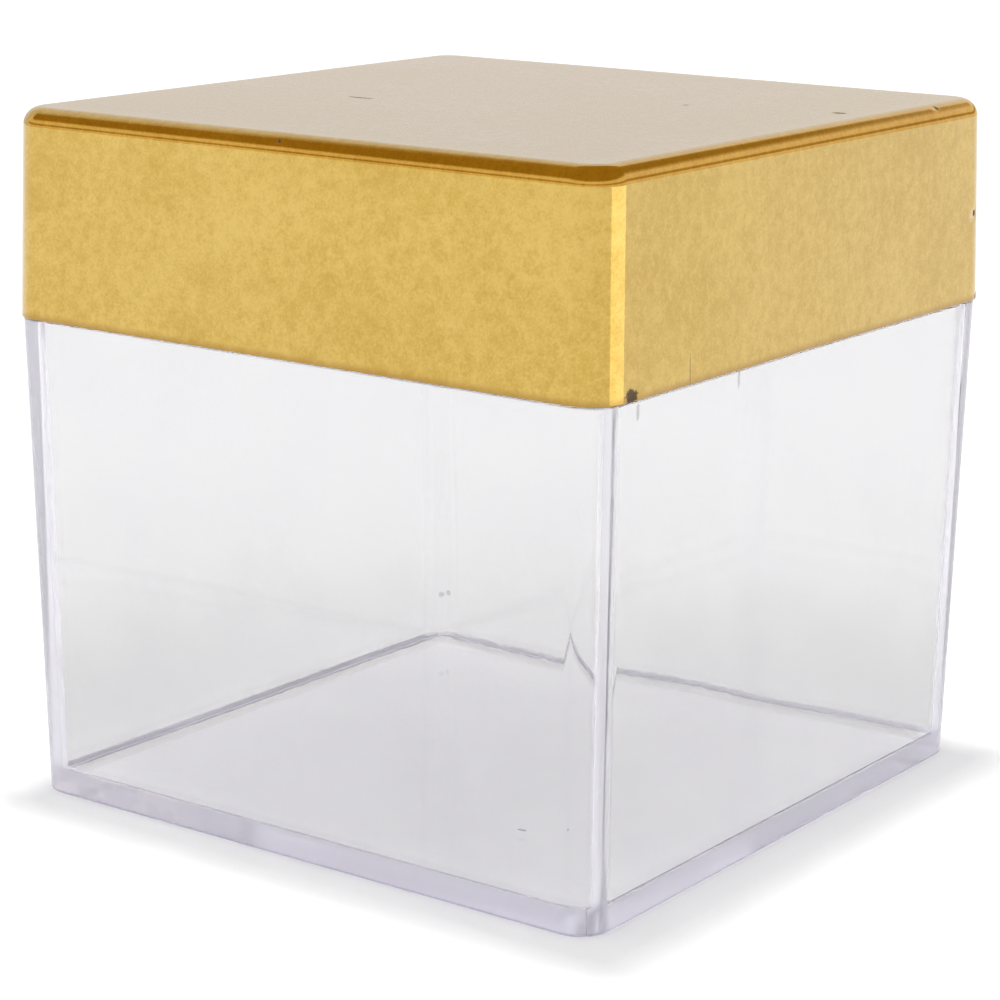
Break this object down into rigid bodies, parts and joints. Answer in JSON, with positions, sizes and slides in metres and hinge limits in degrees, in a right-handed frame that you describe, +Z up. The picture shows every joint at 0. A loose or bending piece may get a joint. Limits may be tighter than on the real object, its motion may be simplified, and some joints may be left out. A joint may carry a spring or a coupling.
{
  "type": "lidded favour box",
  "caption": "Clear moulded cube box with a mirror-gold deep telescoping lid, for favours or small cards.",
  "frame": {"origin": "centre of the box's flat underside", "axes": "+Z up, out of the box's mouth; X and Y square to its walls"},
  "size_m": [0.057, 0.057, 0.056],
  "materials": {
    "clear_plastic": "polished clear polystyrene, faint lavender tint",
    "metallised_gold": "vacuum-metallised gold under a clear lacquer, mirror gloss"
  },
  "bodies": {
    "box": {"clear_box": "clear_plastic"},
    "lid": {"gold_lid": "metallised_gold"}
  },
  "joints": [
    {"name": "lid_lift", "type": "slide", "parent": "box", "child": "lid", "axis": [0, 0, 1], "range_m": [0, 0.03]}
  ]
}
